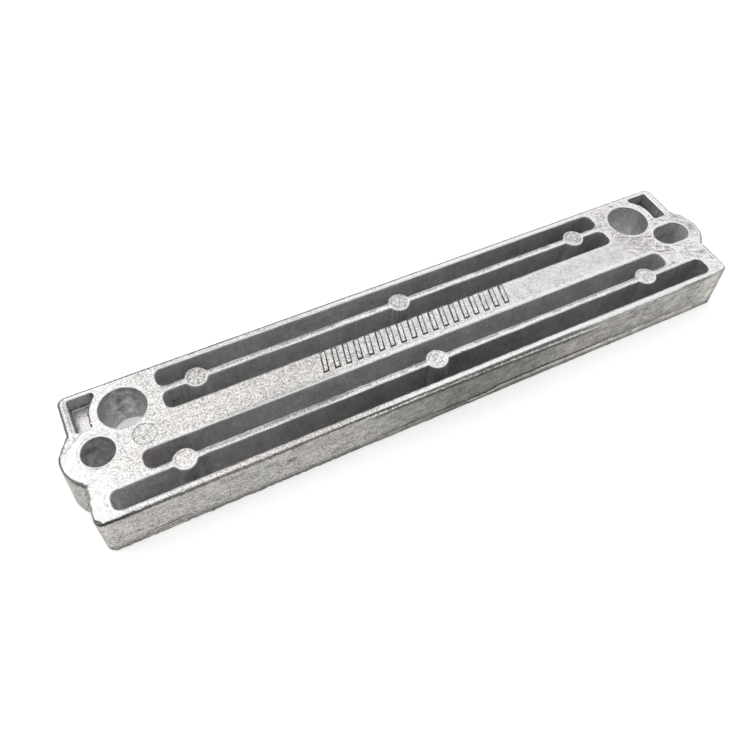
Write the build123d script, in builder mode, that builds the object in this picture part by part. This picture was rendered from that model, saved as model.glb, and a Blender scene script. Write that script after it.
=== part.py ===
from build123d import *
from math import radians, sqrt, tan
import os

# Sacrificial anode for an outboard engine's clamp bracket: one die-cast bar with cored pockets,
# thin ribs with ejector bosses, a round bolt hole at one end and a slotted one at the other.
# Frame: +X along the bar towards the slot, +Z up through the open side of the pockets,
# origin at the centre of the flat mounting face. All sizes are in millimetres.

# Overall form, measured at the open face
body_length = 200.5
body_width = 41.1
body_height = 15.5
wall_draft = 1.25
corner_radius = 2.4
foot_chamfer = 0.4
rim_chamfer = 0.3

# Fixing ears, the round bolt hole and the slot
bolt_inset = 6.25
bolt_hole_diameter = 9.0
slot_length = 12.0
slot_width = 8.0
ear_wall = 5.45
ear_draft = 3.5
ear_blend_radius = 1.5

# Relief holes beside the bolts
relief_hole_diameter = 13.1
relief_hole_end_wall = 9.1
relief_hole_side_wall = 3.35

# Long cored pockets and the walls they leave
floor_thickness = 2.5
pocket_draft = 1.5
pocket_end_radius = 2.3
pocket_floor_bevel = 0.5
spine_width = 9.6
rib_thickness = 1.85
side_wall = 1.85
front_end_wall = 5.4
slot_pocket_wall = 3.7
relief_pocket_wall = 4.05

# Ejector bosses on the ribs, and the prints that the pins leave in them and in the spine
ejector_boss_diameter = 6.5
back_boss_setback = 10.5
front_boss_setback = 9.8
boss_foot_blend = 0.55
boss_print_margin = 0.65
spine_print_diameter = 6.4
spine_print_inset = 18.65
pin_print_depth = 0.12

# Corner pockets outside the relief holes
corner_pocket_depth = 5.0
corner_pocket_short_side = 1.4
corner_pocket_end_wall = 2.35
corner_pocket_back_wall = 1.55
corner_pocket_bolt_wall = 3.3
corner_pocket_relief_wall = 2.65
corner_pocket_radius = 0.7
corner_pocket_floor_bevel = 0.3

# Places that follow from the sizes above
open_face = Plane.XY.offset(body_height)
pocket_depth = body_height - floor_thickness
half_length = body_length / 2
half_width = body_width / 2
bolt_x = half_length - bolt_inset
bolt_hole_radius = bolt_hole_diameter / 2
relief_hole_radius = relief_hole_diameter / 2
relief_hole_x = half_length - relief_hole_end_wall - relief_hole_radius
relief_hole_y = half_width - relief_hole_side_wall - relief_hole_radius
spine_print_x = half_length - spine_print_inset
boss_print_radius = ejector_boss_diameter / 2 - boss_print_margin
pocket_width = (half_width - spine_width / 2 - rib_thickness - side_wall) / 2
inner_pocket_y = (spine_width + pocket_width) / 2
outer_pocket_y = half_width - side_wall - pocket_width / 2
rib_y = (inner_pocket_y + outer_pocket_y) / 2
back_pocket_end = relief_hole_x - relief_hole_radius - relief_pocket_wall
front_inner_pocket_end = bolt_x - slot_length / 2 - slot_pocket_wall
front_outer_pocket_end = half_length - front_end_wall
back_boss_x = back_pocket_end - back_boss_setback
front_boss_x = front_inner_pocket_end - front_boss_setback
boss_places = [(x, rib_y) for x in (-back_boss_x, 0, back_boss_x)]
boss_places += [(x, -rib_y) for x in (-front_boss_x, 0, front_boss_x)]

# The draft narrows a long pocket towards its floor, and every blend in it with it
pocket_narrowing = pocket_depth * tan(radians(pocket_draft))
boss_blend_radius = boss_foot_blend + pocket_narrowing
long_floor_bevel = min(pocket_floor_bevel, 0.95 * boss_foot_blend)

# Corner pocket on the right: straight on three sides, and on the fourth it follows the relief hole
corner_right = half_length - corner_pocket_end_wall
corner_back = half_width - corner_pocket_back_wall
corner_front = bolt_hole_radius + corner_pocket_bolt_wall
corner_wall_radius = relief_hole_radius + corner_pocket_relief_wall
corner_wall_rise = corner_back - corner_pocket_short_side - relief_hole_y
corner_left = relief_hole_x + sqrt(corner_wall_radius**2 - corner_wall_rise**2)


def edges_at(height):
    """The edges of the casting that lie flat at one height."""
    return anode_casting.edges().filter_by_position(Axis.Z, height - 0.001, height + 0.001)


def is_ear_root(edge):
    """True for the upright inner corner between an ear and the end of the bar."""
    return edge.bounding_box().size.Z > body_height - 0.001 and abs(edge.center().X) > half_length - 0.5


def on_boss(vertex):
    """True for a vertex on the outline of an ejector boss."""
    reaches = [(Vector(vertex.X, vertex.Y) - Vector(*place)).length for place in boss_places]
    return any(abs(reach - ejector_boss_diameter / 2) < 0.001 for reach in reaches)


with BuildPart() as anode_casting:
    # Bar with an ear round each bolt, all drafted to widen towards the mounting face
    with BuildSketch(open_face):
        RectangleRounded(body_length, body_width, corner_radius)
    extrude(amount=-body_height, taper=-wall_draft)
    with BuildSketch(open_face):
        with Locations((-bolt_x, 0), (bolt_x, 0)):
            Circle(bolt_hole_radius + ear_wall)
    extrude(amount=-body_height, taper=-ear_draft)
    fillet(edges(Select.NEW).filter_by(is_ear_root), ear_blend_radius)

    # Four long pockets, notched where the ejector bosses stand on the ribs
    with BuildSketch(open_face) as long_pockets:
        for y, end in (
            (outer_pocket_y, back_pocket_end),
            (inner_pocket_y, back_pocket_end),
            (-inner_pocket_y, front_inner_pocket_end),
            (-outer_pocket_y, front_outer_pocket_end),
        ):
            with Locations((0, y)):
                RectangleRounded(2 * end, pocket_width, min(pocket_end_radius, 0.45 * pocket_width))
        with Locations(*boss_places):
            Circle(ejector_boss_diameter / 2, mode=Mode.SUBTRACT)
        fillet(long_pockets.vertices().filter_by(on_boss), boss_blend_radius)
    extrude(amount=-pocket_depth, taper=pocket_draft, mode=Mode.SUBTRACT)
    chamfer(edges_at(floor_thickness), long_floor_bevel)

    # Corner pockets that follow the wall round each relief hole
    with BuildSketch(open_face) as corner_pockets:
        with Locations((corner_right, corner_back)):
            Rectangle(corner_right - corner_left, corner_back - corner_front, align=(Align.MAX, Align.MAX))
        with Locations((relief_hole_x, relief_hole_y)):
            Circle(corner_wall_radius, mode=Mode.SUBTRACT)
        fillet(corner_pockets.vertices(), corner_pocket_radius)
        mirror(about=Plane.YZ)
    extrude(amount=-corner_pocket_depth, taper=pocket_draft, mode=Mode.SUBTRACT)
    chamfer(edges_at(body_height - corner_pocket_depth), corner_pocket_floor_bevel)

    # Relief holes, bolt hole and slot go right through
    with Locations(open_face):
        with Locations((-relief_hole_x, relief_hole_y), (relief_hole_x, relief_hole_y)):
            Hole(relief_hole_radius)
        with Locations((-bolt_x, 0)):
            Hole(bolt_hole_radius)
    with BuildSketch(open_face):
        with Locations((bolt_x, 0)):
            SlotOverall(slot_length, slot_width)
    extrude(amount=-body_height, mode=Mode.SUBTRACT)

    # Every rim is broken, on the open face and on the mounting face
    chamfer(edges_at(body_height), rim_chamfer)
    chamfer(edges_at(0), foot_chamfer)

    # Prints of the ejector pins, in every boss and at both ends of the spine
    with Locations(open_face):
        with Locations(*boss_places):
            Hole(boss_print_radius, pin_print_depth)
        with Locations((-spine_print_x, 0), (spine_print_x, 0)):
            Hole(spine_print_diameter / 2, pin_print_depth)

anode_casting.part.label = "anode_casting"

os.makedirs("parts", exist_ok=True)
export_step(anode_casting.part, "parts/anode_casting.step")
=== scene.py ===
import math

import bmesh
import bpy
from mathutils import Euler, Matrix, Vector, noise
from mathutils.kdtree import KDTree


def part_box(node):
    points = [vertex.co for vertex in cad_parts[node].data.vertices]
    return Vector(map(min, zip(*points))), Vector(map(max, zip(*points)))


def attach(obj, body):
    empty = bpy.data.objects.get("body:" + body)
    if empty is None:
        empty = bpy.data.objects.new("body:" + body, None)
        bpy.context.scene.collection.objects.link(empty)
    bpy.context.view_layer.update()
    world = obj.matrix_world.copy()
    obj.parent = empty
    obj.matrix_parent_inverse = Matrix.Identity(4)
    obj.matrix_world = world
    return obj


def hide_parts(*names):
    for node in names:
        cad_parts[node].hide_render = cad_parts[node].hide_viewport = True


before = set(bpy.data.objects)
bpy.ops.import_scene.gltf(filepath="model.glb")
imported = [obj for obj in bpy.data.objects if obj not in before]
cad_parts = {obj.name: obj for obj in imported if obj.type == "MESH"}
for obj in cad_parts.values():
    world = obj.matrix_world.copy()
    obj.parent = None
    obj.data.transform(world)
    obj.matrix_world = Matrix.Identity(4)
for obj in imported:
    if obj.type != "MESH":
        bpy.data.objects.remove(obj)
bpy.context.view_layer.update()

# The viewpoint. It looks down along the bar from the round-hole end, close enough that the far end
# is clearly smaller.
mm = 0.001
camera_data = bpy.data.cameras.new("view")
camera_data.sensor_width = 36
camera_data.lens = 36.588
camera = bpy.data.objects.new("view", camera_data)
camera.location = Vector((-77.19, -118.14, 188.88)) * mm
camera.rotation_euler = Euler([math.radians(angle) for angle in (35.474, -1.267, -26.512)])
bpy.context.collection.objects.link(camera)
bpy.context.scene.camera = camera

# The casting. One piece of anode alloy, die cast with its mounting face down and knocked out of the
# die by eight pins, then cut from its gates by hand. The skin takes the casting's own faces and cuts
# them fine enough to carry what the die and the saw left. Lengths are in mm until it is scaled.
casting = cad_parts["anode_casting"]
face_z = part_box("anode_casting")[1].z / mm
end_x = 100.25
side_y = 20.55
corner_radius = 2.4
bolt_x = 94.0
ear_radius = 9.95
relief_hole_x = 84.6
relief_hole_y = 10.65
corner_wall_radius = 9.2
rib_y = 11.75
boss_places = [(boss_x, rib_y) for boss_x in (-63.5, 0, 63.5)]
boss_places += [(boss_x, -rib_y) for boss_x in (-74.5, 0, 74.5)]

# Where the gates were cut off the front wall, where flash was trimmed along its foot, and the ledge
# under its rim, which falls away towards the slot
gate_start = -91.3
gate_end = -80.0
gate_top = 3.3
gate_slant = 0.55
short_strip_start = -23.0
short_strip_end = 6.0
short_strip_middle = -8.5
long_strip_start = 6.5
long_strip_end = 91.0
ledge_start = -25.0
ledge_end = 50.0
ledge_drop = 1.25
ledge_fall = 1.1
ledge_fall_end = 55
shoulder_start = -8.0
shoulder_end = -18.6


def cold_flow(along, up):
    """How far a place on the front wall lies past the slanted line where two flows of metal met."""
    return along + 27 - (up - 6.5) * 0.9


def ramp(value, low, high):
    """0 up to low, 1 from high, and smooth in between."""
    share = min(max((value - low) / (high - low), 0), 1)
    return share * share * (3 - 2 * share)


def window(value, low, high, edge):
    """1 between low and high, and 0 beyond them."""
    return ramp(value, low - edge, low + edge) * (1 - ramp(value, high - edge, high + edge))


def longest_side(place):
    """How long a triangle's side may be there: shorter where the casting carries finer marks."""
    depth = face_z - place.z
    if place.y < 0.3 - side_y:
        if depth < 2.8:
            return 0.5
        return 0.6 if place.z < 4.8 else 1.0
    if place.x < 0.8 - end_x and depth < 3.0:
        return 0.5
    if depth < 0.5:
        return 0.8
    if place.x < -90 and place.y > 3 and depth < 5:
        return 1.0
    return 3.0


def refine(mesh):
    """Splits each triangle's longest side until it is within its limit, and drops slivers on the way."""
    for turn in range(20):
        bmesh.ops.dissolve_degenerate(mesh, dist=0.01, edges=mesh.edges)
        mesh.normal_update()
        if turn < 9:
            flat_sides = [
                side for side in mesh.edges
                if len(side.link_faces) == 2
                and side.link_faces[0].normal.dot(side.link_faces[1].normal) > 0.99999
            ]
            bmesh.ops.beautify_fill(mesh, faces=mesh.faces, edges=flat_sides)
        long_sides = []
        for face in mesh.faces:
            side = max(face.edges, key=lambda side: side.calc_length())
            if side.calc_length() > longest_side((side.verts[0].co + side.verts[1].co) / 2):
                long_sides.append(side)
        if not long_sides:
            return
        bmesh.ops.subdivide_edges(mesh, edges=list(dict.fromkeys(long_sides)), cuts=1)
        bmesh.ops.triangulate(mesh, faces=[face for face in mesh.faces if len(face.verts) > 3])


def front_wall_marks(place):
    """How far the front wall stands out there."""
    depth = face_z - place.z
    waver = 0.25 * noise.noise(Vector((place.x / 1.7, 3.1, 0)))
    on_gate = window(place.x - gate_slant * place.z, gate_start, gate_end, 0.2)
    saw_marks = 0.04 * math.sin(place.z * 5.2) - 0.1
    out = on_gate * saw_marks * (1 - ramp(place.z, gate_top - 0.2, gate_top + 0.2))
    short_top = 2.9 - 0.004 * (place.x - short_strip_middle) ** 2
    out += 0.12 * window(place.x, short_strip_start, short_strip_end, 0.3) * (place.z < short_top)
    long_top = 2.1 + 1.3 * ramp(place.x, 13, 17)
    out += 0.12 * window(place.x, long_strip_start, long_strip_end, 0.3) * (place.z < long_top)
    ledge = window(place.x, ledge_start, ledge_end, 4.0)
    drop = ledge_drop + ledge_fall * ramp(place.x, 0, ledge_fall_end) + waver
    out += 0.16 * ledge * window(depth, drop - 0.35, drop + 0.35, 0.15)
    flow = cold_flow(place.x, place.z)
    out -= 0.05 * ramp(flow, -0.6, 0.6) * (1 - ramp(flow, 4, 30))
    trimmed = 1 - 0.65 * ramp(place.x, -80, -55)
    groove_depth = 1.1 - 0.35 * ramp(place.x, -45, -30)
    out -= 0.14 * trimmed * window(depth, 0.35, groove_depth + waver, 0.15) * (1 - ledge)
    return out


def trimmed_shoulder(place):
    """Cuts the left front shoulder's top edge back to the bevel that a file left on it."""
    along = ramp(place.y, shoulder_end, shoulder_start)
    width = 0.4 + 0.9 * along + 0.25 * noise.noise(place / 0.8)
    height = 1.5 + 0.3 * noise.noise(place / 0.9)
    inside = (place.x + end_x) / width + (face_z - place.z) / height
    if inside >= 1:
        return place
    slope = Vector((1 / width, 0, -1 / height))
    return place + slope * (1 - inside) / slope.length_squared


def chipped_ear(place):
    """Flattens the back of the left ear, where its flash was broken off."""
    from_bolt = Vector((place.x + bolt_x, place.y))
    around = math.degrees(math.atan2(from_bolt.y, from_bolt.x))
    chipped = window(around, 138, 160, 5)
    if chipped == 0:
        return place
    width = 0.9 + 0.3 * noise.noise(place / 0.7)
    inside = (ear_radius - from_bolt.length) / width + (face_z - place.z) / 0.9
    if inside >= 1:
        return place
    outward = from_bolt.normalized()
    slope = Vector((-outward.x / width, -outward.y / width, -1 / 0.9))
    return place + slope * chipped * (1 - inside) / slope.length_squared


def ragged_pocket_edge(place):
    """Waves the left corner pocket's edge towards the relief hole, where the die had begun to wear."""
    from_hole = Vector((place.x + relief_hole_x, place.y - relief_hole_y))
    near = 1 - ramp(abs(from_hole.length - corner_wall_radius), 0.3, 0.9)
    near *= window(place.x, -97, -91.2, 0.5) * ramp(place.z, face_z - 5, face_z - 3)
    if near == 0:
        return place
    wave = noise.noise(Vector((place.x, place.y, place.z / 3)) / 0.9)
    return place + 0.5 * near * wave * Vector((from_hole.x, from_hole.y, 0)).normalized()


skin = bmesh.new()
skin.from_mesh(casting.data)
bmesh.ops.remove_doubles(skin, verts=skin.verts, dist=1e-6)
bmesh.ops.scale(skin, vec=Vector((1 / mm, 1 / mm, 1 / mm)), verts=skin.verts)
refine(skin)
skin.normal_update()

# Every rim is a narrow broken edge. It is set apart here, so that the broad faces on its two sides
# can lend it their own direction at the end, and it shades as a rounded edge. The skin also carries
# how far each point lies inside the open face's outline, how far it is from the rim of a pocket or
# a hole, whether that rim faces the front or the back, and where it was filed or chipped.
rim = skin.faces.layers.int.new("rim")
outline = skin.verts.layers.float.new("outline")
from_rim = skin.verts.layers.float.new("from_rim")
rim_turn = skin.verts.layers.float.new("rim_turn")
torn = skin.verts.layers.float.new("torn")


def inside_outline(place):
    """How far a point lies inside the outline that the open face has, ears and all."""
    across = Vector((abs(place.x) - end_x + corner_radius, abs(place.y) - side_y + corner_radius))
    beyond = Vector((max(across.x, 0), max(across.y, 0))).length
    from_bolt = Vector((abs(place.x) - bolt_x, place.y)).length
    return max(corner_radius - beyond - min(max(across.x, across.y), 0), ear_radius - from_bolt)


mouth_rims = []
for face in skin.faces:
    face[rim] = 0.5 < abs(face.normal.z) < 0.9
    middle = face.calc_center_median()
    if face[rim] and middle.z > face_z - 0.4 and inside_outline(middle) > 0.6:
        mouth_rims.append((middle, face.normal.y))
nearest_rim = KDTree(len(mouth_rims))
for index, (middle, _) in enumerate(mouth_rims):
    nearest_rim.insert(middle, index)
nearest_rim.balance()
for vertex in skin.verts:
    place = vertex.co.copy()
    vertex[outline] = inside_outline(place)
    _, index, distance = nearest_rim.find(place)
    vertex[from_rim] = min(distance, 5)
    vertex[rim_turn] = mouth_rims[index][1]
    out = 0.03 * noise.noise(place / 9) + 0.012 * noise.noise(place / 0.9)
    if any(face[rim] for face in vertex.link_faces):
        ragged = 1 + 1.5 * (place.y < 0.5 - side_y) * (1 - ramp(place.x, -60, 0))
        out += ragged * (0.07 * noise.noise(place / 1.2) + 0.06 * noise.noise(place / 0.5))
    if vertex.normal.y < -0.9:
        out += front_wall_marks(place)
    place += vertex.normal * out
    if place.x < -90:
        place = ragged_pocket_edge(place)
        if place.x < -97 and place.z > face_z - 3:
            whole = place
            if shoulder_end < place.y < shoulder_start:
                place = trimmed_shoulder(place)
            place = chipped_ear(place)
            vertex[torn] = ramp((place - whole).length, 0.01, 0.08)
    vertex.co = place
skin.normal_update()
directions = []
for vertex in skin.verts:
    broad_faces = [face for face in vertex.link_faces if not face[rim]]
    direction = Vector()
    for face in broad_faces or vertex.link_faces:
        direction += face.normal * face.calc_area()
    directions.append(direction.normalized())

bmesh.ops.scale(skin, vec=Vector((mm, mm, mm)), verts=skin.verts)
skin_mesh = bpy.data.meshes.new("anode_skin")
skin.to_mesh(skin_mesh)
skin.free()
skin_mesh.shade_smooth()
skin_mesh.normals_split_custom_set_from_vertices(directions)
anode_skin = bpy.data.objects.new("anode_skin", skin_mesh)
bpy.context.collection.objects.link(anode_skin)
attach(anode_skin, "root")
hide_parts("anode_casting")


# Shader maths. A wire is one output of a node tree, and an expression on wires adds its nodes.
class Wire:
    """An output socket that takes part in Python expressions."""

    def __init__(self, tree, socket=None):
        self.tree = tree
        self.socket = socket

    def node(self, kind, settings=None, inputs=None, output=0):
        """Adds a node of any kind: its settings first, then the values or wires of its inputs."""
        made = self.tree.nodes.new(kind)
        for name, value in (settings or {}).items():
            if name == "stops":
                elements = made.color_ramp.elements
                elements.remove(elements[1])
                elements[0].position = value[0][0]
                for position, shade in value:
                    element = elements[0] if position == value[0][0] else elements.new(position)
                    element.color = (shade, shade, shade, shade)
            else:
                setattr(made, name, value)
        for name, value in (inputs or {}).items():
            if isinstance(value, Wire):
                self.tree.links.new(value.socket, made.inputs[name])
            else:
                made.inputs[name].default_value = value
        return Wire(self.tree, made.outputs[output])

    def math(self, operation, *others):
        """This number put through a Math node, with any other numbers after it."""
        return self.node("ShaderNodeMath", {"operation": operation}, dict(enumerate((self, *others))))

    def __add__(self, other):
        return self.math("ADD", other)

    def __radd__(self, other):
        return self.math("ADD", other)

    def __sub__(self, other):
        return self.math("SUBTRACT", other)

    def __rsub__(self, other):
        return self.node("ShaderNodeMath", {"operation": "SUBTRACT"}, {0: other, 1: self})

    def __mul__(self, other):
        return self.math("MULTIPLY", other)

    def __rmul__(self, other):
        return self.math("MULTIPLY", other)

    def __truediv__(self, other):
        return self.math("DIVIDE", other)

    def __abs__(self):
        return self.math("ABSOLUTE")

    def most(self, other):
        return self.math("MAXIMUM", other)

    def least(self, other):
        return self.math("MINIMUM", other)

    def between(self, low, high):
        """0 up to low, 1 from high, and smooth in between."""
        settings = {"interpolation_type": "SMOOTHSTEP"}
        inputs = {"Value": self, "From Min": low, "From Max": high}
        return self.node("ShaderNodeMapRange", settings, inputs)

    def window(self, low, high, edge):
        """1 between low and high, and 0 beyond them."""
        return self.between(low - edge, low + edge) * (1 - self.between(high - edge, high + edge))

    def line(self, centre, width):
        """1 along a line where this wire has the centre's value, and 0 beside it."""
        return 1 - abs(self - centre).between(0.25 * width, 0.75 * width)

    def chosen(self, first, second):
        """The number first where this wire is 0, and second where it is 1."""
        return self.node("ShaderNodeMix", {"data_type": "FLOAT"}, {0: self, 2: first, 3: second})

    def mixed(self, first, second):
        """The colour first where this wire is 0, and second where it is 1."""
        return self.node("ShaderNodeMix", {"data_type": "RGBA"}, {0: self, 6: first, 7: second}, output=2)

    def times(self, number):
        """This colour or vector, scaled by a number."""
        return self.node("ShaderNodeVectorMath", {"operation": "SCALE"}, {0: self, "Scale": number})

    def parts(self):
        """The three numbers of a vector."""
        outputs = self.node("ShaderNodeSeparateXYZ", inputs={0: self}).socket.node.outputs
        return [Wire(self.tree, output) for output in outputs]

    def curve(self, low, high, stops):
        """A number that runs through the stops, given as pairs of a place and a value."""
        share = [((spot - low) / (high - low), value) for spot, value in stops]
        along = (self - low) / (high - low)
        return self.node("ShaderNodeValToRGB", {"stops": share}, {"Fac": along}, output=1)


def new_material(name):
    """A node material, with a wire to start expressions from and its Principled shader."""
    material = bpy.data.materials.new(name)
    material.use_nodes = True
    return material, Wire(material.node_tree), material.node_tree.nodes["Principled BSDF"]


def plug(wire, shader, socket):
    """Feeds one input of a shader from a wire."""
    wire.tree.links.new(wire.socket, shader.inputs[socket])


alloy, start, surface = new_material("cast_anode_alloy")
place = start.node("ShaderNodeTexCoord", output="Object").times(1 / mm)
facing_x, facing_y, facing_z = start.node("ShaderNodeNewGeometry", output="Normal").parts()
slope = abs(start.node("ShaderNodeNewGeometry", output="True Normal").parts()[2])


def speckle(size, detail=2.0, roughness=0.5, stretch=(1, 1, 1), where=place):
    """Noise between 0 and 1 with features about so many mm across, longer along a stretched axis."""
    scales = tuple(1 / (size * factor) for factor in stretch)
    spots = where.node("ShaderNodeVectorMath", {"operation": "MULTIPLY"}, {0: where, 1: scales})
    inputs = {"Vector": spots, "Scale": 1.0, "Detail": detail, "Roughness": roughness}
    return start.node("ShaderNodeTexNoise", inputs=inputs)


# Grain. Cast alloy is mottled like frost, coarser and softer towards the slot, and every mark on it
# follows the grain a little: x, y and z carry it to all that is drawn from them.
fine = speckle(0.42, 1.0) - 0.5
grain = speckle(0.9, 2.0) - 0.5
mottle = speckle(2.4, 3.0, 0.55) - 0.5
cloud = speckle(8.0, 2.0) - 0.5
waver = speckle(1.1, 2.0) - 0.5
drag_turn = {"Vector": place, "Angle": math.radians(27)}
dragged = start.node("ShaderNodeVectorRotate", {"rotation_type": "Z_AXIS"}, drag_turn)
drags = speckle(0.9, 3.0, 0.6, stretch=(4, 0.8, 1), where=dragged) - 0.5
x, y, z = [number + 0.05 * fine for number in place.parts()]
depth = face_z - z


def distance_from(spot_x, spot_y):
    """How far a point is from an upright axis."""
    across = x - spot_x
    along = y - spot_y
    return (across * across + along * along).math("SQRT")


def skin_value(name):
    """A number that the skin carries at each of its points."""
    return start.node("ShaderNodeAttribute", {"attribute_name": name}, output="Fac")


def broken(share, contrast, pattern):
    """0 in the low places of a pattern and 1 in its high ones, to break a line or a patch up."""
    return (share + contrast * pattern).most(0).least(1)


def disc(spot_x, spot_y, radius, edge=0.3):
    """1 inside an upright cylinder, and 0 outside it."""
    return 1 - distance_from(spot_x, spot_y).between(radius - edge, radius + edge)


# Which of the casting's surfaces a point lies on
outline = skin_value("outline")
from_rim = skin_value("from_rim")
rim_turn = skin_value("rim_turn")
torn = skin_value("torn")
outside = 1 - outline.between(0.5, 1.0)
upward = facing_z.between(0.45, 0.85)
downward = (0 - facing_z).between(0.45, 0.85)
face = upward * (1 - depth.between(0.5, 1.0))
floors = upward * depth.between(0.5, 1.0)
rims = slope.between(0.3, 0.5) * (1 - slope.between(0.88, 0.97)) * (1 - depth.between(0.7, 0.8))
front = outside * (0 - facing_y).between(0.5, 0.8)
right_half = x.between(-20, 60)

# The open face. Bright, brightest on the round-hole ear, and a painted highlight along every rim.
face_tone = x.curve(-104, 104, [
    (-104, 0.90), (-94, 0.90), (-86, 0.80), (-66, 0.73), (-42, 0.69), (-10, 0.75), (20, 0.79),
    (45, 0.76), (68, 0.78), (80, 0.75), (90, 0.84), (98, 0.92), (103, 0.75),
])
frost = x.curve(-104, 104, [
    (-104, 0.3), (-96, 0.4), (-88, 0.9), (-66, 1.0), (-20, 0.9), (30, 0.5), (104, 0.3),
])
frost = frost.most(0.7 * y.between(4, 7)) * (1 - 0.5 * disc(*boss_places[3], 3.2))
face_tone = face_tone * (1 + frost * (2.4 * fine + 1.3 * grain) + 0.7 * mottle)
face_tone = face_tone * (1 + x.between(70, 84) * (2.3 * drags + 1.2 * grain + 0.8 * cloud))

# The ribs are duller than the spine, the front one most of all near the round hole
boss_tops = disc(*boss_places[0], 3.3)
for boss_place in boss_places[1:]:
    boss_tops = boss_tops.most(disc(*boss_place, 3.3))
ribs = (1 - abs(abs(y) - rib_y).between(1.0, 1.1)) * (1 - boss_tops)
front_rib = x.curve(-80, 80, [(-76, 0.95), (-58, 0.74), (-25, 0.74), (0, 0.85), (60, 0.9)])
back_rib = x.curve(-80, 80, [(-60, 0.9), (-30, 0.85), (0, 0.88), (40, 0.93), (60, 1.0)])
face_tone = face_tone * ribs.chosen(1.0, y.between(-1, 1).chosen(front_rib, back_rib))
spine_edge = y.window(-5, -3.4, 0.3) * x.curve(-80, 80, [
    (-70, 0), (-58, 0.25), (-22, 0.25), (-10, 0.1), (30, 0.1), (45, 0),
])
face_tone = face_tone * (1 - spine_edge * (1 + 3 * mottle))

# Rims that face the front and the land along the front wall get a painted highlight, stronger towards the
# slot
rim_highlight_strength = x.curve(-104, 104, [
    (-104, 0.35), (-80, 0.3), (-60, 0.15), (-35, 0.15), (-20, 0.8), (0, 0.95), (45, 1.0), (80, 0.8),
])
rim_highlight = (1 - (from_rim + 1.6 * waver).between(0.35, 1.35)) * outline.between(0.5, 0.8)
faces_back = rim_turn.between(-0.3, 0.4) * x.window(-85, 80, 4)
rim_highlight = rim_highlight * (1 - 0.75 * faces_back * (1 - 0.5 * y.window(3.5, 5.5, 0.3)))
front_land_highlight = x.between(-28, -16) * (1 - y.between(-18.9, -18.7)) * (1 - x.between(94, 97))
rim_highlight = rim_highlight.most(front_land_highlight)
face_tone = (rim_highlight_strength * rim_highlight * (1 + 2.5 * fine + 2.0 * grain)).least(1).chosen(face_tone, 1.0)
# Painted shade on the ribs just beside the rims that face the back
face_tone = face_tone * (1 - 0.3 * ribs * faces_back * (1 - (from_rim + 0.3 * waver).between(0.4, 0.9)))

# Dirt beside the rims near the right end and in specks on the left end, and painted shade beside the rims
# that face the back
soiled_ring = (from_rim + 0.8 * waver).line(1.2, 0.4) * x.between(75, 78) * broken(0.5, 3, waver)
face_tone = face_tone * (1 - 0.2 * soiled_ring)
# Painted shade just beside the rims that face the back, broken up by the cloud pattern
shaded_rim = rim_turn.between(0.2, 0.6) * (1 - (from_rim + 0.3 * waver).between(0.2, 0.45))
face_tone = face_tone * (1 - 0.6 * shaded_rim * (0.6 + 3 * cloud).most(0.2).least(1))
left_end = (1 - x.between(-95.5, -94.5)) * (1 - y.between(-11.5, -11))
end_specks = (from_rim + 0.8 * waver).line(1.0, 0.7) * left_end
face_tone = face_tone * (1 - 0.5 * end_specks * broken(0.2, 5, grain))
end_land = (1 - x.between(-98.2, -97.8)) * y.between(7.5, 8.5)
end_land = end_land * (1 - 0.8 * (from_rim + 0.8 * waver).line(1.1, 0.7))
face_tone = face_tone * (1 - 0.5 * end_land * broken(0.9, 4, fine))

# Painted shade along its outline, and just inside that a painted highlight on the right half
outline_shade_strength = x.curve(-104, 104, [(-104, 0.92), (-90, 0.87), (0, 0.85), (90, 0.6), (103, 0.55)])
front_side = (1 - y.between(-19.5, -19.0)) * (1 - x.between(94, 97))
outline_shade = 1 - (outline + 0.25 * waver).between(0.4, 0.78)
# Painted highlight in a thin line just inside the outline on the right half
face_tone = (0.9 * right_half * (outline + 0.4 * waver).line(0.95, 0.5)).chosen(face_tone, 0.98)
face_tone = face_tone * (1 - outline_shade_strength * outline_shade * (1 - front_side))
# Painted shade on the right ear near its outline, towards the front
right_ear_shade = 1 - distance_from(bolt_x, 0).between(8.8, 9.2)
face_tone = face_tone * (1 - 0.2 * right_ear_shade * x.between(95, 99) * y.between(-7, -1) * (1 + 2 * mottle))

# Prints of the ejector pins: a fine ring, duller inside it
for print_x, strength in ((-81.6, 0.55), (81.6, 0.15)):
    from_pin = distance_from(print_x, 0)
    face_tone = face_tone * (1 - strength * from_pin.line(3.2, 0.4) * broken(0.7, 3, waver))
    face_tone = face_tone * (1 - 0.13 * (1 - from_pin.between(2.6, 3.3)) * (1 + 3 * mottle))
for boss_x, boss_y in boss_places:
    from_boss = distance_from(boss_x, boss_y)
    ring = (from_boss + 0.5 * waver).line(2.45, 0.4)
    face_tone = face_tone * (1 - 0.3 * ring * broken(0.6, 3, waver))
    duller = 0.2 if boss_y > 0 else -0.03
    face_tone = face_tone * (1 + (1 - from_boss.between(2.4, 3.2)) * (0.6 * grain + 0.6 * fine - duller))

# The round-hole end: two worn rings round the hole, the chip across the ear, a scuff, and the corner
from_bolt = distance_from(-bolt_x, 0) + 0.4 * waver
face_tone = face_tone * (1 - 0.45 * from_bolt.line(5.3, 0.4) * broken(0.5, 3, waver))
face_tone = face_tone * (1 - 0.2 * from_bolt.line(5.9, 0.35) * broken(0.3, 4, waver))
chip = 0.774 * y - 0.635 * x + 0.8 * waver - 67
on_ear = 1 - y.between(7.5, 8.5)
face_tone = face_tone * (1 - 0.6 * chip.line(0, 0.5) * broken(0.5, 4, grain) * on_ear)
face_tone = face_tone * (1 + chip.between(0, 0.3) * on_ear * (1.6 * grain - 0.05))
scuffed = x.window(-89, -79, 1.5) * y.window(-9, -3.5, 1.5) * broken(0.5, 2.5, mottle)
face_tone = face_tone * (1 - 0.16 * scuffed)
broken_corner = disc(-end_x, -side_y, 2.0 + 0.6 * waver, 0.15)
face_tone = face_tone * (1 - 0.85 * broken_corner)

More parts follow.
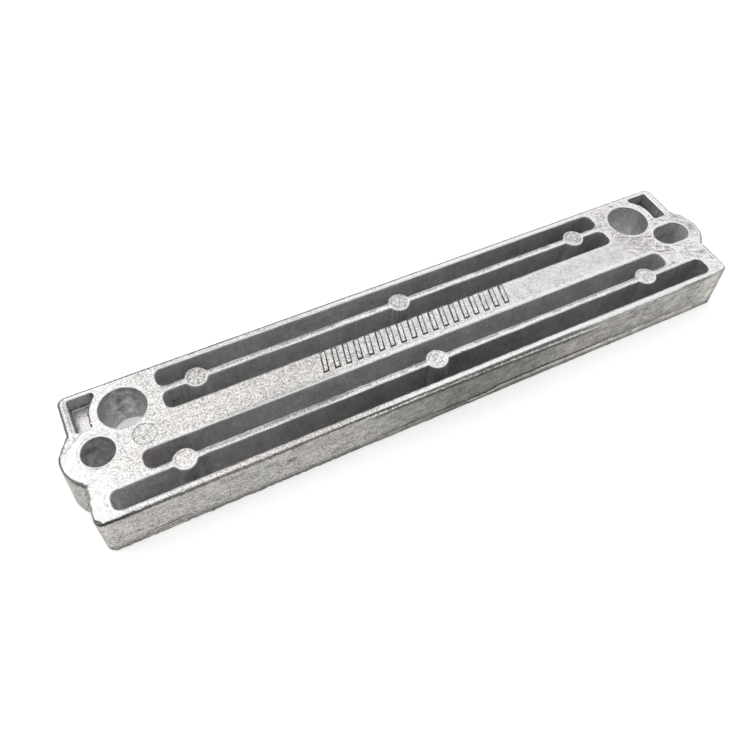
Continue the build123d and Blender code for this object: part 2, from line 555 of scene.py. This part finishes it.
# The outer walls. Duller, and darker where the alloy ran cold in the middle.
wall_tone = x.curve(-104, 104, [
    (-104, 0.51), (-90, 0.475), (-60, 0.46), (-40, 0.45), (-27, 0.43), (-20, 0.345), (0, 0.215),
    (26, 0.21), (42, 0.325), (90, 0.39), (97, 0.61),
])
runs = speckle(1.6, 3.0, 0.6, stretch=(3.5, 1, 0.8)) - 0.5
patchy = right_half.chosen(0.9, 1.3) * mottle + right_half.chosen(1.1, 1.5) * runs
wall_tone = wall_tone * (0.93 + right_half.chosen(2.1, 1.0) * fine + 0.8 * grain + patchy)

# The front wall's marks: the painted shadow in the groove under its rim's flash lip, what the trimming
# left, and the cold flows
# How strong and how deep the painted shadow under the front rim is along the wall
rim_shadow_strength = x.curve(-100, 100, [
    (-100, 0.97), (-94, 0.9), (-88, 0.75), (-60, 0.65), (-40, 0.7), (-32, 0.88), (-20, 0.85), (-10, 0.7),
    (12, 0.6), (22, 0.7), (40, 0.65), (55, 0.4), (78, 0.35), (87, 0.6), (92, 0.55), (97, 0.25),
])
rim_shadow_depth = x.curve(-100, 100, [
    (-100, 1.1), (-88, 1.2), (-68, 1.15), (-45, 1.1), (-34, 0.6), (10, 0.5), (20, 0.95),
    (38, 1.05), (50, 0.6), (80, 0.5), (88, 0.95), (100, 0.9),
])
under_rim_shadow = depth.between(0.05, 0.18) * (1 - (depth + 1.3 * waver - rim_shadow_depth).between(-0.2, 0.4))
on_long_strip = x.window(long_strip_start, long_strip_end, 0.3)
on_short_strip = x.window(short_strip_start, short_strip_end, 0.3)
along_gate = x - gate_slant * z
on_gate = along_gate.window(gate_start, gate_end, 0.2)
foot = (1 - z.between(0.8, 3.4)) * (1 - on_long_strip) * (1 - 0.6 * on_short_strip) * (1 - 0.8 * on_gate)
# Painted shade in lines along the trimmed strips and round the gate patch, and a painted highlight just
# under the long strip's top edge
strip_line = x.curve(0, 100, [(0, 0.88), (45, 0.8), (62, 0.45), (100, 0.15)])
above_strip = z + waver - x.curve(0, 100, [(13, 2.4), (17, 3.6)])
marks = 1 - rim_shadow_strength * under_rim_shadow
marks = marks * (1 - 0.6 * foot)
marks = marks * (1 - on_long_strip * (strip_line * above_strip.line(0.3, 0.8) + 0.6 * z.line(1.1, 0.5)))
marks = marks * (1 + on_long_strip * strip_line * above_strip.line(-0.8, 0.7) * 1.3)
from_middle = x - short_strip_middle
short_top = 3.1 - 0.003 * from_middle * from_middle
marks = marks * (1 - 0.5 * on_short_strip * (z + 0.3 * waver - short_top).line(0, 0.6))
marks = marks * (1 - 0.12 * x.window(52, 91, 0.4) * z.window(4.3, 6.2, 0.4))
gate_lines = (z * 0.9 + 0.1 * waver).math("FRACT").line(0.5, 0.35) * z.window(0.4, 2.7, 0.25)
marks = marks * (1 - 0.6 * gate_lines * on_gate)
marks = marks * (1 - 0.75 * (z + 0.3 * waver).line(gate_top, 0.6) * on_gate)
marks = marks * (1 - 0.5 * (along_gate + 0.3 * waver).line(gate_start, 0.5) * (1 - z.between(3.1, 3.5)))
# The ledge under the rim: a painted highlight along it and a painted shadow below it
ledge = x.window(ledge_start, ledge_end, 4.0)
ledge_depth = depth + 1.4 * waver - (ledge_drop + ledge_fall * x.between(0, ledge_fall_end))
ledge_light = ledge * ledge_depth.line(0, 0.5) * (0.7 + 4 * grain).most(0.1).least(1)
marks = marks * (1 + 2.3 * ledge_light) * (1 - 0.65 * ledge * ledge_depth.line(1.1, 1.6))
flow_line = (cold_flow(x, z) + 0.5 * waver).line(0, 0.4)
marks = marks * (1 - 0.3 * flow_line * z.window(6, 13.5, 0.5))
cold_arc = x - 87.5 - 0.035 * (z - 5) * (z - 5)
marks = marks * (1 - 0.45 * (cold_arc + 0.3 * waver).line(0, 0.5) * z.window(5, 14.6, 0.5))
from_stain_x = x + 49
from_stain_z = z - 9.3
stain_size = from_stain_x * from_stain_x / 3 + from_stain_z * from_stain_z
stain = (1 - stain_size.between(0.2, 1.4)) * front
wall_tone = wall_tone * front.chosen(1.0, marks) * (1 - 0.45 * stain)
wall_tone = wall_tone * (1 - 0.15 * (1 - x.between(-99.6, -98.6)))
wall_tone = wall_tone * (1 - 0.4 * (x + 0.022 * depth).between(96.2, 97.8) * (1 - y.between(-18, -17)))

# The cored walls. Painted shade just inside the mouth, paler with depth, and scored along the draw.
draws = speckle(0.5, 2.0, 0.6, stretch=(1, 1, 8)) - 0.5
core_tone = depth.curve(0, 16, [
    (0, 0.8), (0.35, 0.6), (0.8, 0.42), (1.4, 0.36), (2.6, 0.41), (7, 0.52), (16, 0.52),
])
front_outer = x.curve(-100, 100, [
    (-98, 1.7), (-92, 1.3), (-86, 1.0), (-68, 0.95), (-35, 0.72), (5, 0.5), (28, 0.62), (50, 0.75),
    (80, 0.72),
])
back_outer = x.curve(-100, 100, [(-68, 1.0), (-20, 1.05), (10, 0.92), (50, 0.72), (80, 0.75)])
back_outer = (abs(x) - 74).between(0, 1).chosen(back_outer, 1.0)
back_inner = x.curve(-100, 100, [(-40, 0.95), (20, 0.8), (60, 0.75)])
core_tone = core_tone * y.between(-12.6, -12.0).chosen(front_outer, 1.0)
core_tone = core_tone * y.between(12.4, 13.0).chosen(1.0, back_outer)
core_tone = core_tone * y.window(2, 12.4, 0.3).chosen(1.0, back_inner)
core_tone = core_tone * (1 + 0.7 * grain + 0.6 * mottle + 0.7 * cloud + 0.6 * draws)
inner = 1 - face
bolt_mouth = 5.2
relief_mouth = 7.2
bolt_walls = disc(-bolt_x, 0, bolt_mouth) * inner
core_tone = core_tone * (1 - 0.05 * bolt_walls) * (1 + 1.5 * bolt_walls * mottle)

# Both ends' relief holes and corner pockets, the left ones the more mottled and shaded
for side, ripple, lift in ((-1, 3.0, -0.05), (1, 0.3, 0.12)):
    outward = x * side
    relief_wall = disc(side * relief_hole_x, relief_hole_y, relief_mouth) * inner
    patches = ripple * mottle * outward.window(80, 88, 1.5)
    core_tone = core_tone * (1 + relief_wall * (patches + depth.between(2, 15) * 0.4 + lift))
    corner = distance_from(side * relief_hole_x, relief_hole_y).between(7.4, 7.6) * y.between(6.5, 7.5)
    corner = corner * outward.between(82, 84) * inner * (1 - outside)
    corner_tone = 0.38 - 0.05 * side + 0.7 * draws - 0.2 * depth.between(3.0, 4.6)
    corner_tone = corner_tone - 0.1 * facing_x.between(0.5, 0.8) + 0.5 * depth.line(4.85, 0.3)
    corner_tone = corner_tone - 0.25 * (1 - outward.between(90, 92)) * (1 - side)
    core_tone = corner.chosen(core_tone, corner_tone.most(0.04))
# Painted shade just inside the mouths of the holes and of the right end's pockets
hole_mouths = disc(-bolt_x, 0, bolt_mouth).most(disc(-relief_hole_x, relief_hole_y, relief_mouth))
hole_mouths = hole_mouths.most(x.between(85, 86))
core_tone = core_tone * (1 - 0.8 * hole_mouths * (1 - depth.between(0.35, 0.9)))
slot_walls = x.between(86, 87) * (1 - abs(y).between(4.5, 5)) * inner
core_tone = core_tone * (1 + slot_walls * (x.between(91, 98) * 0.35 + 0.05 + 0.8 * cloud))

# Two pores in a back pocket's wall, drag lines below the middle boss, and a stain on the left one
for pore_x, pore_z in ((-71.35, 9.7), (-70.25, 9.75)):
    across = x - pore_x
    along = z - pore_z
    pore = 1 - (across * across + along * along).math("SQRT").between(0.2, 0.45)
    core_tone = core_tone * (1 - 0.8 * pore * y.window(10, 11.5, 0.3))
boss_flank = disc(*boss_places[1], 3.6) * (1 - y.between(11, 11.5)) * inner
core_tone = core_tone * (1 - 0.35 * boss_flank * (x * 1.05).math("FRACT").line(0.5, 0.4))
stained_flank = disc(-73.5, -13.2, 5.0, 1.5) * inner * broken(0.5, 3, mottle)
core_tone = core_tone * (1 - 0.4 * stained_flank)

# The corner pockets' floors: bright, grey along the edge
floor_edge = (97.4 - abs(x)).least(18.5 - y)
floor_dots = (1 - (floor_edge + 1.5 * waver).between(0.2, 0.8)) * broken(0.5, 4, grain)
floor_tone = 0.9 * (1 + 0.5 * fine + 0.5 * grain) * (1 - 0.45 * floor_dots)

# The rims: painted shade on the outer rims that turn away from the front, and a painted highlight round
# the pockets and holes and along part of the front rim towards the right end
front_rim = (x.between(38, 50) * (1 - x.between(79, 84))).chosen(marks * 0.6, 0.9)
rim_tone = outside.chosen(0.95, (0 - facing_y).between(0.3, 0.6).chosen(0.3, front_rim))
rim_tone = rim_tone * (1 + 1.2 * fine)

# All the surfaces together, painted shade along the left corner pocket's edge and on the bars' flanks,
# the torn edges, and a faint colour over each
tone = outside.most(downward).chosen(core_tone, wall_tone)
tone = floors.chosen(tone, floor_tone)
tone = face.chosen(tone, face_tone)
tone = rims.chosen(tone, rim_tone)
from_relief = distance_from(-relief_hole_x, relief_hole_y)
# Painted shade in a thin line along the left corner pocket's edge towards the relief hole
shaded_pocket_edge = (from_relief + 0.3 * waver).line(9.0, 0.7) * y.between(9, 10) * (1 - x.between(-91.5, -91))
tone = tone * (1 - 0.8 * shaded_pocket_edge * (face + rims).least(1))
tone = torn.chosen(tone, 0.25 * (1 + 3.5 * grain + 2 * fine))
# Painted shade: the raised bars' flanks are made near black
bar_flanks = z.between(face_z + 0.05, face_z + 0.1) * (1 - slope.between(0.85, 0.95))
tone = bar_flanks.chosen(tone, 0.05)
core_tint = broken(0.5, 3, cloud).mixed((1.0, 0.995, 0.965, 1), (1.0, 0.98, 0.995, 1))
wall_tint = broken(0.5, 3, cloud).mixed((1.0, 0.98, 0.92, 1), (1.0, 0.965, 0.94, 1))
browned = broken(0.5, 3, mottle).mixed((1.0, 0.95, 0.88, 1), (0.99, 1.0, 0.90, 1))
wall_tint = (0.8 * x.window(-25, 25, 8)).mixed(wall_tint, browned)
tint = outside.mixed(core_tint, wall_tint)
face_tint = x.window(-76, -28, 6).mixed((1.0, 0.993, 0.975, 1), (1.0, 0.967, 0.935, 1))
face_tint = x.window(74, 90, 4).mixed(face_tint, (1.0, 0.965, 0.955, 1))
# Where the rims carry the painted highlight, the tint turns nearly white
tint = face.most(rims).mixed(tint, rim_highlight.mixed(face_tint, (1.0, 0.995, 0.985, 1)))
tint = stain.mixed(tint, (1.0, 0.98, 0.78, 1))
tint = scuffed.mixed(tint, (1.0, 0.94, 0.92, 1))
tint = floors.mixed(tint, (1.0, 0.96, 0.96, 1))
plug(tint.times(tone.most(0.02).least(1)), surface, "Base Color")
plug(floors.chosen(0.48, 0.3) + 0.4 * fine, surface, "Roughness")
plug(face.most(rims).most(outside).most(floors).chosen(0.35, 0.75), surface, "Metallic")
height = fine + 1.5 * grain
pits = start.node("ShaderNodeBump", inputs={"Strength": 0.7, "Distance": 0.08 * mm, "Height": height})
plug(pits, surface, "Normal")
skin_mesh.materials.append(alloy)
casting.material_slots[0].link = "OBJECT"
casting.material_slots[0].material = alloy

# The raised marks along the spine. A row of slanted bars that the die left standing proud, with the
# face's own finish on top and painted shade on their flanks.
bar_count = 18
bar_pitch = 3.5
bar_width = 1.15
bar_reach = 6.4
bar_height = 0.38
bar_flank = 0.4
bar_slant = 1.6
bar_profile = ((-0.3, bar_flank), (0.04, bar_flank), (bar_height - 0.06, 0.02), (bar_height, -0.06))
row_middle_x = 0.3
row_middle_y = 0.9
bars = bmesh.new()
for number in range(bar_count):
    middle_x = row_middle_x + (number - (bar_count - 1) / 2) * bar_pitch
    rings = []
    for level, spread in bar_profile:
        ring = []
        for right, back in ((-1, -1), (1, -1), (1, 1), (-1, 1)):
            corner_x = middle_x + right * (bar_width / 2 + spread) + back * bar_slant / 2
            corner_y = row_middle_y + back * (bar_reach / 2 + spread)
            ring.append(bars.verts.new((corner_x, corner_y, face_z + level)))
        rings.append(ring)
    bars.faces.new(list(reversed(rings[0])))
    bars.faces.new(rings[-1])
    for lower, upper in zip(rings, rings[1:]):
        for corner in range(4):
            after = (corner + 1) % 4
            bars.faces.new((lower[corner], lower[after], upper[after], upper[corner]))
bmesh.ops.triangulate(bars, faces=bars.faces)
for _ in range(3):
    long_sides = [side for side in bars.edges if side.calc_length() > 0.5]
    bmesh.ops.subdivide_edges(bars, edges=long_sides, cuts=1)
    bmesh.ops.triangulate(bars, faces=[face for face in bars.faces if len(face.verts) > 3])
bars.normal_update()
for vertex in bars.verts:
    if vertex.co.z > face_z:
        vertex.co += 0.06 * noise.noise(vertex.co / 0.9) * vertex.normal
bmesh.ops.scale(bars, vec=Vector((mm, mm, mm)), verts=bars.verts)
bars_mesh = bpy.data.meshes.new("raised_bars")
bar_outline = bars.verts.layers.float.new("outline")
bar_from_rim = bars.verts.layers.float.new("from_rim")
for vertex in bars.verts:
    vertex[bar_outline] = 10
    vertex[bar_from_rim] = 5
bars.to_mesh(bars_mesh)
bars.free()
raised_bars = bpy.data.objects.new("raised_bars", bars_mesh)
bpy.context.collection.objects.link(raised_bars)
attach(raised_bars, "root")
bars_mesh.materials.append(alloy)

# The table. A plain white sweep that the bar lies on, lifted to white where it is seen.
table_reach = 3.0
table_mesh = bpy.data.meshes.new("table_top")
table_corners = [(-table_reach, -table_reach, 0), (table_reach, -table_reach, 0)]
table_corners += [(table_reach, table_reach, 0), (-table_reach, table_reach, 0)]
table_mesh.from_pydata(table_corners, [], [(0, 1, 2, 3)])
table_top = bpy.data.objects.new("table_top", table_mesh)
bpy.context.collection.objects.link(table_top)
paper, start, surface = new_material("white_paper")
surface.inputs["Base Color"].default_value = (0.86, 0.853, 0.84, 1)
surface.inputs["Roughness"].default_value = 0.9
surface.inputs["Specular IOR Level"].default_value = 0.0
reflected = start.node("ShaderNodeLightPath", output="Is Glossy Ray")
reflected = reflected.most(start.node("ShaderNodeLightPath", output="Is Transmission Ray"))
lift = reflected.mixed((0, 0, 0, 1), (0.42, 0.42, 0.42, 1))
lift = start.node("ShaderNodeLightPath", output="Is Camera Ray").mixed(lift, (0.39, 0.39, 0.39, 1))
plug(lift, surface, "Emission Color")
surface.inputs["Emission Strength"].default_value = 1.0
table_mesh.materials.append(paper)

# The studio: a pale room, a little brighter high on the left, and one large soft lamp over there.
room = bpy.data.worlds.new("room")
bpy.context.scene.world = room
room.use_nodes = True
start = Wire(room.node_tree)
looking = start.node("ShaderNodeTexCoord", output="Generated")
high_left = (-0.62, 0.25, 0.74)
towards = {0: looking, 1: high_left}
lit_side = looking.node("ShaderNodeVectorMath", {"operation": "DOT_PRODUCT"}, towards, output=1)
level = lit_side.between(-0.5, 1.0).mixed((0.74, 0.74, 0.75, 1), (0.98, 0.98, 0.98, 1))
backdrop = start.node("ShaderNodeLightPath", output="Is Camera Ray").mixed(level, (1, 1, 1, 1))
plug(backdrop, room.node_tree.nodes["Background"], "Color")
lamp_data = bpy.data.lights.new("softbox", "AREA")
lamp_data.shape = "RECTANGLE"
lamp_data.size = 0.7
lamp_data.size_y = 0.7
lamp_data.energy = 1.0
lamp = bpy.data.objects.new("softbox", lamp_data)
lamp.location = (-0.45, 0.45, 0.75)
lamp.rotation_euler = (Vector((0, 0, 0)) - lamp.location).to_track_quat("-Z", "Y").to_euler()
bpy.context.collection.objects.link(lamp)
bpy.context.scene.view_settings.view_transform = "Standard"
